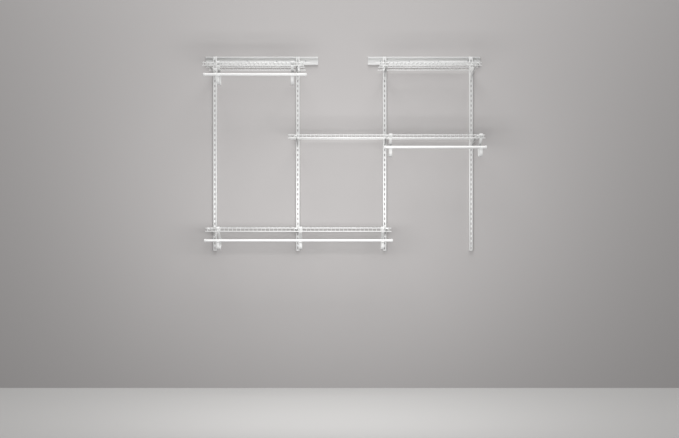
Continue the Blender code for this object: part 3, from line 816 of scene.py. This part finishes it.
def wire_run(node, back):
    """Where the first and the last deck wire of a shelf's solid stand."""
    solid = frame["nodes"][node]
    corners = [solid.matrix_world @ vert.co for vert in solid.data.vertices]
    ends = [corner.x for corner in corners if abs(corner.y - back) < NEAR]
    return min(ends) + sizes().wire_radius, max(ends) - sizes().wire_radius


def build_shelf(node):
    """Three bars under the deck wires and one along the lip."""
    size = sizes()
    low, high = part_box(node)
    deck = high.z
    wire_centre = deck - size.wire_radius
    lip_y = low.y + size.bar_radius
    lip_bar = deck - size.lip_height + size.bar_radius
    back_bar = high.y - BACK_REACH - size.bar_radius
    front_bar = lip_y + size.lip_setback
    middle_bar = front_bar + MIDDLE_SHARE * (back_bar - front_bar)
    shape = bmesh.new()
    for y in (back_bar, middle_bar, front_bar):
        long_bar(shape, low.x, high.x, y, bar_height(deck), size.bar_radius)
    long_bar(shape, low.x, high.x, lip_y, lip_bar, size.bar_radius)
    wire = deck_wire(high.y, lip_y, wire_centre, lip_bar)
    first, last = wire_run(node, high.y)
    count = 1 + round((last - first) / size.wire_pitch)
    for index in range(count):
        append(shape, wire, RIGHT * (first + index * size.wire_pitch))
    name = node.replace("wire_shelf", "welded_shelf")
    made = scene_object(mesh_from(shape, name), name)
    finish_piece(made, node, powder_coat())


# Rods and caps

ROD_SIDES = 48
CAP_SIDES = 40
# How much the ends of a rod and the rim of a cap are eased
END_EASE = 0.0003
# A cap's rounded end, its wall at the end, and how much thinner its body is than its rim
CAP_ROUND = 0.0034
CAP_STEPS = 4
CAP_WALL = 0.002
CAP_RELIEF = 0.0002
# The rim of a cap, and the run of the slope up to it
RIM_LENGTH = 0.0024
RIM_SLOPE = 0.0004


def build_rod(node):
    """A tube with eased ends."""
    size = sizes()
    low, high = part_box(node)
    centre = Vector((low.x, (low.y + high.y) / 2, (low.z + high.z) / 2))
    run = high.x - low.x
    radius = size.rod_radius
    bore = radius - size.rod_wall
    profile = [
        (0, bore),
        (0, radius - END_EASE),
        (END_EASE, radius),
        (run - END_EASE, radius),
        (run, radius - END_EASE),
        (run, bore),
        (0, bore),
    ]
    name = node.replace("hang_rod", "steel_rod")
    made = scene_object(mesh_from(turned(centre, RIGHT, profile, ROD_SIDES), name), name)
    finish_piece(made, node, powder_coat())


def build_cap(node):
    """A cup with a rounded end and a slightly thicker rim."""
    size = sizes()
    low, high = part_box(node)
    run = high.x - low.x
    inwards = 1 if node.endswith("_left") else -1
    end = low.x if inwards > 0 else high.x
    centre = Vector((end, (low.y + high.y) / 2, (low.z + high.z) / 2))
    radius = size.cap_radius
    rim = size.rod_radius + FIT_GAP
    body = radius - CAP_RELIEF
    profile = [(0, 0)]
    profile += [(along, body - lost) for along, lost in quarter(CAP_ROUND, CAP_ROUND, CAP_STEPS)]
    profile += [
        (run - RIM_LENGTH - RIM_SLOPE, body),
        (run - RIM_LENGTH, radius),
        (run - END_EASE, radius),
        (run, radius - END_EASE),
        (run, rim),
        (CAP_WALL, rim),
        (CAP_WALL, 0),
    ]
    name = node.replace("rod_cap", "end_cap")
    shape = turned(centre, RIGHT * inwards, profile, CAP_SIDES)
    made = scene_object(mesh_from(shape, name), name)
    finish_piece(made, node, moulded_plastic())


# Rod hooks

# The rounded edges of a strap, as a share of its thickness
STRAP_ROUND = 0.28
STRAP_SEGMENTS = 3
# The clip's tail in front of the bar, and the strap's straight run below the lip
CLIP_TAIL = 0.003
BELOW_LIP = 0.003
CLIP_STEPS = 10
# Where the strap comes down behind the rod, the height of that shoulder, and the bends on the way there
STRAP_BACK = 0.088
SHOULDER = 0.008
STRAP_BEND = 0.006
CORNER_STEPS = 8
# The saddle that carries the rod
SADDLE_SHEET = 0.004
SADDLE_STEPS = 14


def strap_section(x, y, z, width, thickness):
    """A strap's flat section, its edges rounded, seen from above."""
    half = width / 2
    front = y - thickness
    points = [(x - half, front, z), (x + half, front, z), (x + half, y, z), (x - half, y, z)]
    return outline(points, radius=thickness * STRAP_ROUND, segments=STRAP_SEGMENTS)


def thicken(shape, face, foot, outwards, ratio):
    """Scale a strap's end face away from the surface that it wraps."""
    turn = outwards.rotation_difference(UP).to_matrix().to_4x4()
    bmesh.ops.scale(shape, vec=(1, 1, ratio), space=turn @ Matrix.Translation(-foot), verts=face.verts)


def clip_over(shape, face, bar, seat):
    """Sweep the strap over the front bar, thickest at the crown."""
    size = sizes()
    last = 1.0
    for step in range(1, CLIP_STEPS + 1):
        face = swing(shape, face, bar, -math.pi / CLIP_STEPS, 1)
        angle = math.pi * (1 - step / CLIP_STEPS)
        outwards = Vector((0, math.cos(angle), math.sin(angle)))
        ratio = 1 + (size.crown / size.hook_thickness - 1) * math.sin(angle)
        thicken(shape, face, bar + outwards * seat, outwards, ratio / last)
        last = ratio
    return face


def strap_back(shape, face, start, knee, elbow):
    """Lead the strap down past the lip, then slanting back to where it comes down behind the rod."""
    size = sizes()
    turn = math.atan2(elbow.z - knee.z, elbow.y - knee.y) + math.pi / 2
    reach = STRAP_BEND * math.tan(turn / 2)
    face = pull(shape, face, -UP * (start.z - knee.z - reach))
    narrow = size.hook_width / size.clip_width
    bmesh.ops.scale(shape, vec=(narrow, 1, 1), space=Matrix.Translation((-start.x, 0, 0)), verts=face.verts)
    face = swing(shape, face, knee + INWARDS * STRAP_BEND + UP * reach, turn, BEND_STEPS)
    slant = elbow - knee
    face = pull(shape, face, slant.normalized() * (slant.length - 2 * reach))
    face = swing(shape, face, elbow - INWARDS * STRAP_BEND - UP * reach, -turn, BEND_STEPS)
    return face, elbow.z - reach


def strap_under(shape, face, top, rod, low_line):
    """Lead the strap down, forward below the rod and up into the saddle."""
    size = sizes()
    corner = size.hook_corner
    back = rod.y + STRAP_BACK
    saddle_middle = rod.z - size.rod_radius - FIT_GAP - SADDLE_SHEET / 2
    face = pull(shape, face, -UP * (top - low_line - corner))
    face = swing(shape, face, (rod.x, back - corner, low_line + corner), -math.pi / 2, CORNER_STEPS)
    face = pull(shape, face, -INWARDS * (back - rod.y - 2 * corner))
    face = swing(shape, face, (rod.x, rod.y + corner, low_line + corner), -math.pi / 2, CORNER_STEPS)
    pull(shape, face, UP * (saddle_middle - low_line - corner))


def saddle(rod, front):
    """The curved rest under the rod, reaching as far forward as the hook's solid does."""
    size = sizes()
    inside = size.rod_radius + FIT_GAP
    half_angle = math.asin((rod.y - front) / (inside + SADDLE_SHEET))
    shape = strap_section(rod.x, rod.y - inside, rod.z, size.hook_width + 2 * FIT_GAP, SADDLE_SHEET)
    start = Matrix.Rotation(math.pi / 2 - half_angle, 3, "X")
    bmesh.ops.rotate(shape, cent=rod, matrix=start, verts=shape.verts)
    swing(shape, only_face(shape), rod, 2 * half_angle, SADDLE_STEPS)
    return shape


def build_hook(node):
    """A strap from the shelf's front bar back, down and round under the rod, with a saddle at its end."""
    size = sizes()
    low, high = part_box(node)
    x = (low.x + high.x) / 2
    shelf = "shelf_" + node.removeprefix("rod_hook_").rsplit("_", 1)[0]
    shelf_low, shelf_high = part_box("wire_" + shelf)
    rod_low, rod_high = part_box(node.replace("rod_hook", "hang_rod").rsplit("_", 1)[0])
    rod = Vector((x, (rod_low.y + rod_high.y) / 2, (rod_low.z + rod_high.z) / 2))
    deck = shelf_high.z
    thickness = size.hook_thickness
    bar = Vector((x, shelf_low.y + size.bar_radius + size.lip_setback, bar_height(deck)))
    seat = size.bar_radius + FIT_GAP

    shape = strap_section(x, bar.y - seat, bar.z - CLIP_TAIL, size.clip_width, thickness)
    face = pull(shape, only_face(shape), UP * CLIP_TAIL)
    face = clip_over(shape, face, bar, seat)
    start = bar + INWARDS * (seat + thickness / 2)
    knee = Vector((x, start.y, deck - size.lip_height - BELOW_LIP))
    elbow = Vector((x, rod.y + STRAP_BACK, rod.z + SHOULDER))
    face, top = strap_back(shape, face, start, knee, elbow)
    strap_under(shape, face, top, rod, low.z + thickness / 2)
    name = node.replace("rod_hook", "moulded_hook")
    made = scene_object(mesh_from(shape, name), name)
    combine(made, saddle(rod, low.y), "UNION")
    finish_piece(made, node, moulded_plastic())


# Stage

# The backdrop's plane, just behind the wall plane, the floor's height and how far both reach
WALL_Y = 0.0006
FLOOR_Z = -2.131
REACH = 9.0
AMBIENT = 0.26
# The camera's place, lens and sensor, and the picture's width and how far it is shifted, in pixels
CAMERA_PLACE = Vector((0.5085, -5.84, -1.0425))
CAMERA_LENS = 47.5
SENSOR_WIDTH = 36
PICTURE_WIDTH = 679
SHIFT_RIGHT = -0.5
SHIFT_UP = 2


def backdrop(name, corners, material):
    """A flat piece of the stage."""
    shape = bmesh.new()
    shape.faces.new([shape.verts.new(corner) for corner in corners])
    mesh = bpy.data.meshes.new(name)
    shape.to_mesh(mesh)
    shape.free()
    made = scene_object(mesh, name)
    made.data.materials.append(material)


def lamp(name, place, target, width, height, power):
    """A soft area lamp that faces its target."""
    data = bpy.data.lights.new(name, "AREA")
    data.shape = "RECTANGLE"
    data.size = width
    data.size_y = height
    data.energy = power
    made = bpy.data.objects.new(name, data)
    made.location = place
    made.rotation_euler = (Vector(target) - Vector(place)).to_track_quat("-Z", "Y").to_euler()
    bpy.context.collection.objects.link(made)


def light_world():
    """Even light from all round, and a plain tone where the camera sees past the stage."""
    world = bpy.data.worlds.new("studio")
    bpy.context.scene.world = world
    world.use_nodes = True
    tree = world.node_tree
    ambient = tree.nodes["Background"]
    ambient.inputs["Color"].default_value = (1, 1, 1, 1)
    ambient.inputs["Strength"].default_value = AMBIENT
    seen = tree.nodes.new("ShaderNodeBackground")
    seen.inputs["Color"].default_value = colours().beyond
    rays = tree.nodes.new("ShaderNodeLightPath")
    either = tree.nodes.new("ShaderNodeMixShader")
    tree.links.new(rays.outputs["Is Camera Ray"], either.inputs["Fac"])
    tree.links.new(ambient.outputs["Background"], either.inputs[1])
    tree.links.new(seen.outputs["Background"], either.inputs[2])
    tree.links.new(either.outputs["Shader"], tree.nodes["World Output"].inputs["Surface"])


class CLOSET_OT_stage(bpy.types.Operator):
    """Set up the wall, floor, lamps, world and camera"""

    bl_idname = "closet.stage"
    bl_label = "Stage"

    def execute(self, context):
        middle = CAMERA_PLACE.x
        back_corners = [
            (-REACH, WALL_Y, FLOOR_Z),
            (REACH, WALL_Y, FLOOR_Z),
            (REACH, WALL_Y, REACH / 2),
            (-REACH, WALL_Y, REACH / 2),
        ]
        floor_corners = [
            (-REACH, -REACH, FLOOR_Z),
            (REACH, -REACH, FLOOR_Z),
            (REACH, REACH, FLOOR_Z),
            (-REACH, REACH, FLOOR_Z),
        ]
        backdrop("wall", back_corners, seen_from_front("wall_paint", colours().wall, roughness=0.9))
        backdrop("floor", floor_corners, seen_from_front("floor_paint", colours().floor, roughness=0.7))
        light_world()
        lamp("key", place=(middle, -1.9, 3.2), target=(middle, 0, -0.5), width=4.0, height=3.0, power=132)
        lamp("front", place=(0.45, -1.7, -1.0), target=(0.45, 0, -0.9), width=1.8, height=0.5, power=18.5)
        lamp("back", place=(middle, 3.0, 1.2), target=(middle, 0, -0.5), width=2.0, height=0.8, power=20)

        data = bpy.data.cameras.new("camera")
        data.sensor_width = SENSOR_WIDTH
        data.lens = CAMERA_LENS
        data.shift_x = SHIFT_RIGHT / PICTURE_WIDTH
        data.shift_y = SHIFT_UP / PICTURE_WIDTH
        data.dof.use_dof = False
        camera = bpy.data.objects.new("camera", data)
        camera.location = CAMERA_PLACE
        camera.rotation_euler = (math.pi / 2, 0, 0)
        context.collection.objects.link(camera)
        context.scene.camera = camera
        context.scene.view_settings.view_transform = "Standard"
        return {"FINISHED"}


class CLOSET_OT_rails(bpy.types.Operator):
    """Fold the hang rails"""

    bl_idname = "closet.rails"
    bl_label = "Hang rails"

    def execute(self, context):
        for node in solids("hang_rail_"):
            build_rail(node)
        return {"FINISHED"}


class CLOSET_OT_uprights(bpy.types.Operator):
    """Fold and slot the uprights"""

    bl_idname = "closet.uprights"
    bl_label = "Uprights"

    def execute(self, context):
        for node in (name for name in solids("upright_") if "screw" not in name):
            build_upright(node)
        return {"FINISHED"}


class CLOSET_OT_screws(bpy.types.Operator):
    """Turn the rails' and uprights' screws"""

    bl_idname = "closet.screws"
    bl_label = "Screws"

    def execute(self, context):
        for node in solids("rail_screw_") + solids("upright_screw_"):
            build_screw(node)
        return {"FINISHED"}


class CLOSET_OT_brackets(bpy.types.Operator):
    """Fold the shelf brackets"""

    bl_idname = "closet.brackets"
    bl_label = "Brackets"

    def execute(self, context):
        for node in solids("bracket_"):
            build_bracket(node)
        return {"FINISHED"}


class CLOSET_OT_shelves(bpy.types.Operator):
    """Bend and weld the wire shelves"""

    bl_idname = "closet.shelves"
    bl_label = "Wire shelves"

    def execute(self, context):
        for node in solids("wire_shelf_"):
            build_shelf(node)
        return {"FINISHED"}


class CLOSET_OT_rods(bpy.types.Operator):
    """Make the hang rods and their end caps"""

    bl_idname = "closet.rods"
    bl_label = "Hang rods"

    def execute(self, context):
        for node in solids("hang_rod_"):
            build_rod(node)
        for node in solids("rod_cap_"):
            build_cap(node)
        return {"FINISHED"}


class CLOSET_OT_hooks(bpy.types.Operator):
    """Mould the rod hooks"""

    bl_idname = "closet.hooks"
    bl_label = "Rod hooks"

    def execute(self, context):
        for node in solids("rod_hook_"):
            build_hook(node)
        return {"FINISHED"}


OPERATORS = (
    CLOSET_OT_stage,
    CLOSET_OT_rails,
    CLOSET_OT_uprights,
    CLOSET_OT_screws,
    CLOSET_OT_brackets,
    CLOSET_OT_shelves,
    CLOSET_OT_rods,
    CLOSET_OT_hooks,
)


class CLOSET_PT_panel(bpy.types.Panel):
    """Sizes, colours and pieces of the closet system"""

    bl_idname = "CLOSET_PT_panel"
    bl_label = "Closet System"
    bl_space_type = "VIEW_3D"
    bl_region_type = "UI"
    bl_category = "Closet"

    def draw(self, context):
        for group in (context.scene.closet_sizes, context.scene.closet_colours):
            box = self.layout.box()
            for name in group.__annotations__:
                box.prop(group, name)
        for operator in OPERATORS:
            self.layout.operator(operator.bl_idname)


CLASSES = (ClosetSizes, ClosetColours, *OPERATORS, CLOSET_PT_panel)


def register():
    for made in CLASSES:
        bpy.utils.register_class(made)
    bpy.types.Scene.closet_sizes = PointerProperty(type=ClosetSizes)
    bpy.types.Scene.closet_colours = PointerProperty(type=ClosetColours)


def unregister():
    del bpy.types.Scene.closet_colours
    del bpy.types.Scene.closet_sizes
    for made in reversed(CLASSES):
        bpy.utils.unregister_class(made)


def main():
    register()
    bpy.ops.closet.stage()
    bpy.ops.closet.rails()
    bpy.ops.closet.uprights()
    bpy.ops.closet.screws()
    bpy.ops.closet.brackets()
    bpy.ops.closet.shelves()
    bpy.ops.closet.rods()
    bpy.ops.closet.hooks()


if __name__ == "__main__":
    main()
